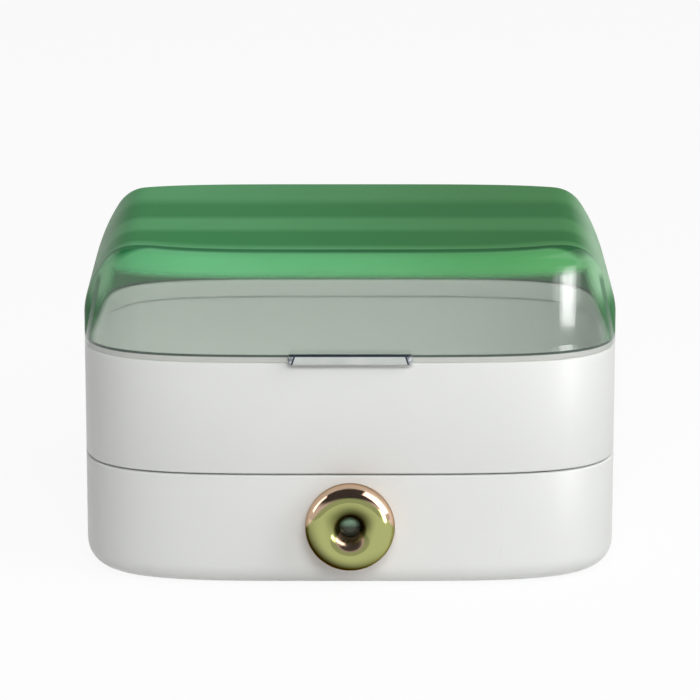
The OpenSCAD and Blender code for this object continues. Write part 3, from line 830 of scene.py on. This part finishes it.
# Painted reflection in rose where the ring faces up, and round its rim.
upper_half = ramp(gold, gold_z, -1 * MM, 1 * MM)
side_gain = combine(gold, "MULTIPLY_ADD", combine(gold, "ABSOLUTE", facing_x), 0.45, -0.11)
facing_up = combine(gold, "MULTIPLY_ADD", upper_half, side_gain, facing_z)
up_share = ramp(gold, facing_up, 0.30, 0.42)
flat_place = shader_node(gold, "ShaderNodeCombineXYZ", {"X": gold_x, "Y": gold_z}).outputs["Vector"]
from_axis = shader_node(gold, "ShaderNodeVectorMath", {0: flat_place}, operation="LENGTH").outputs["Value"]
facing_back = ramp(gold, facing_y, -0.30, -0.12)
outer_half = ramp(gold, from_axis, RING_RADIUS, RING_RADIUS + 3 * MM)
rim_share = product(gold, facing_back, outer_half)
rose_reflection_share = combine(gold, "MAXIMUM", up_share, rim_share)

# Painted reflection in olive elsewhere, with painted shade in the throat of the hole and where the ring faces
# down to the left.
over_hole = ramp(gold, gold_z, -2 * MM, 9 * MM)
drawn_out = combine(gold, "MULTIPLY_ADD", over_hole, -4.0 * MM, from_axis)
throat_share = ramp(gold, drawn_out, RING_RADIUS - 1.5 * MM, RING_RADIUS - 10 * MM)
down_left = shader_node(
    gold, "ShaderNodeVectorMath", {0: facing, 1: (-0.45, 0.25, -0.86)}, operation="DOT_PRODUCT")
low_share = ramp(gold, down_left.outputs["Value"], -0.25, 0.55)
ROSE_REFLECTION = (0.78, 0.55, 0.40)
OLIVE_REFLECTION = (0.42, 0.44, 0.17)
THROAT_SHADE_OLIVE = (0.13, 0.14, 0.045)
LOW_SHADE_OLIVE = (0.040, 0.036, 0.014)
olive = two_tone(gold, throat_share, OLIVE_REFLECTION, THROAT_SHADE_OLIVE)
shaded_olive = two_tone(gold, low_share, olive, LOW_SHADE_OLIVE)
smooth_plating = spread(gold, grain(gold, 240, 3), 0.07, 0.14)
gold_inputs = {
    "Base Color": two_tone(gold, rose_reflection_share, shaded_olive, ROSE_REFLECTION),
    "Metallic": 1.0,
    "Specular Tint": (0.45, 0.38, 0.28, 1),
    "Roughness": combine(gold, "MULTIPLY_ADD", throat_share, 0.22, smooth_plating),
    "Normal": fine_bump(gold, grain(gold, 900, 2), 0.05, 0.00004),
}
finish_with(gold, principled(gold, gold_inputs))
knob = add_piece("knob", ring_skin, gold, "drawer")
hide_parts("knob_ring")


# Knob stem: a turned seat and post behind the ring, plated like it, with a domed end that
# shows in the ring's hole. A screw with a washer holds it from inside the drawer front.
stem_low, stem_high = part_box("knob_stem")
STEM_RADIUS = knob_axis.x + RING_RADIUS - RING_TUBE - 0.1 * MM
SEAT_RADIUS = stem_high.x
SEAT_FRONT = ring_high.y
SEAT_CHAMFER = 0.3 * MM
DOME_STEPS = 8
DOME_ANGLE = math.radians(30)
dome_radius = 2 * STEM_RADIUS
dome_centre = stem_low.y + dome_radius
stem_points = [
    (0, stem_high.y),
    (SEAT_RADIUS - SEAT_CHAMFER, stem_high.y),
    (SEAT_RADIUS, stem_high.y - SEAT_CHAMFER),
    (SEAT_RADIUS, SEAT_FRONT),
    (STEM_RADIUS, SEAT_FRONT),
]
for step in range(DOME_STEPS + 1):
    angle = DOME_ANGLE * (1 - step / DOME_STEPS)
    stem_points.append((dome_radius * math.sin(angle), dome_centre - dome_radius * math.cos(angle)))
stem_skin = bmesh.new()
stem_verts = [stem_skin.verts.new((from_middle, depth, KNOB_Z)) for from_middle, depth in stem_points]
for one, other in zip(stem_verts, stem_verts[1:]):
    stem_skin.edges.new((one, other))
spin_round(stem_skin, 96)

satin_post = new_material("post_satin")
_, _, post_z = parts_of(satin_post, own_place(satin_post))
# Painted shade and highlight: the post is painted dark, with a painted pale green highlight over its upper
# part.
post_painted_highlight = ramp(satin_post, post_z, KNOB_Z - 0.5 * MM, KNOB_Z + 3.2 * MM)
post_shade_tone = two_tone(satin_post, grain(satin_post, 300, 3), (0.044, 0.052, 0.037), (0.056, 0.064, 0.046))
post_inputs = {
    "Base Color": two_tone(satin_post, post_painted_highlight, post_shade_tone, (0.26, 0.42, 0.29)),
    "Metallic": 0.35,
    "Roughness": spread(satin_post, grain(satin_post, 700, 3), 0.22, 0.34),
    "Normal": fine_bump(satin_post, grain(satin_post, 1500, 2), 0.08, 0.00004),
}
finish_with(satin_post, principled(satin_post, post_inputs))
stem = add_piece("knob_post", stem_skin, satin_post, "drawer")
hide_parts("knob_stem")
dress_node("knob_screw", steel, SCREW_EDGE)
dress_node("knob_washer", steel, 0.1 * MM)


# Studio: a plain white table and an even white sky behind it. Soft lamps at the upper right and
# in front light the box, and four panels at its sides show only as reflections on its clear and
# plated pieces.
TABLE_HALF = 4


def seen_without_scatter(material):
    """The light path of a material or world, and 1 where it is seen directly or through the lid."""
    path = shader_node(material, "ShaderNodeLightPath", {}).outputs
    return path, combine(material, "MAXIMUM", path["Is Camera Ray"], path["Is Transmission Ray"])


def studio_white(name):
    material = new_material(name)
    paint = shader_node(material, "ShaderNodeBsdfDiffuse", {"Color": (0.86, 0.86, 0.86, 1), "Roughness": 0.5})
    glow = shader_node(material, "ShaderNodeEmission", {"Color": WHITE, "Strength": 1.0})
    path, directly = seen_without_scatter(material)
    seen = product(material, combine(material, "MAXIMUM", directly, path["Is Glossy Ray"]), 0.92)
    return finish_with(material, cover(material, seen, paint.outputs["BSDF"], glow.outputs["Emission"]))


floor_skin = bmesh.new()
bmesh.ops.create_grid(floor_skin, x_segments=4, y_segments=4, size=TABLE_HALF)
floor_mesh = bpy.data.meshes.new("table")
floor_skin.to_mesh(floor_mesh)
floor_skin.free()
floor_mesh.materials.append(studio_white("table_white"))
table = bpy.data.objects.new("table", floor_mesh)
bpy.context.scene.collection.objects.link(table)

world = bpy.data.worlds.new("studio")
bpy.context.scene.world = world
world.use_nodes = True
world.node_tree.nodes.clear()
sky_path, seen_directly = seen_without_scatter(world)
sky_way = shader_node(world, "ShaderNodeTexCoord", {}).outputs["Generated"]
_, sky_y, sky_z = parts_of(world, sky_way)
white_wall = ramp(world, sky_y, 0.05, 0.35)
low_room = product(world, ramp(world, sky_z, 0.62, 0.36), 0.62)
room = combine(world, "MAXIMUM", combine(world, "MAXIMUM", white_wall, low_room), 0.05)
seen_glossy = product(world, sky_path["Is Glossy Ray"], room)
lights_up = product(world, sky_path["Is Diffuse Ray"], 0.18)
sky_share = combine(world, "MAXIMUM", combine(world, "MAXIMUM", seen_directly, seen_glossy), lights_up)
sky = shader_node(world, "ShaderNodeBackground", {"Color": WHITE, "Strength": sky_share})
shader_node(world, "ShaderNodeOutputWorld", {"Surface": sky.outputs["Background"]})


def soft_lamp(name, place, aim, width, height, watts):
    light = bpy.data.lights.new(name, "AREA")
    light.shape = "RECTANGLE"
    light.size = width
    light.size_y = height
    light.energy = watts
    lamp = bpy.data.objects.new(name, light)
    lamp.location = place
    lamp.rotation_euler = (Vector(aim) - Vector(place)).to_track_quat("-Z", "Y").to_euler()
    bpy.context.scene.collection.objects.link(lamp)
    return lamp


BODY = (0, 0, 0.06)
LID_CORNER = (0.114, -0.08, 0.148)
for name, place, aim, width, height, watts in (
    ("key_lamp", (1.15, -0.72, 0.93), BODY, 1.0, 1.2, 11.2),
    ("front_lamp", (0.25, -2.3, 1.6), BODY, 1.2, 0.6, 34.5),
):
    soft_lamp(name, place, aim, width, height, watts).visible_glossy = False
for name, place, aim, width, height, watts in (
    ("right_panel", (1.2, -0.15, 0.95), BODY, 1.4, 1.5, 17),
    ("left_panel", (-1.2, 0.25, 0.75), BODY, 0.8, 0.9, 5),
    ("corner_panel", (0.56, -0.43, 0.08), LID_CORNER, 0.15, 0.16, 0.6),
    ("corner_glow", (0.60, -0.46, 0.12), LID_CORNER, 0.32, 0.28, 0.55),
):
    soft_lamp(name, place, aim, width, height, watts).visible_diffuse = False

CAMERA_PITCH = math.radians(14.10)
CAMERA_LENS = 215.2
camera_data = bpy.data.cameras.new("camera")
camera_data.lens = CAMERA_LENS
camera_data.sensor_width = 36
camera = bpy.data.objects.new("camera", camera_data)
camera.location = (0, -2.1670, 0.6508)
camera.rotation_euler = (math.pi / 2 - CAMERA_PITCH, 0, 0)
bpy.context.scene.collection.objects.link(camera)
bpy.context.scene.camera = camera
bpy.context.scene.view_settings.view_transform = "Standard"
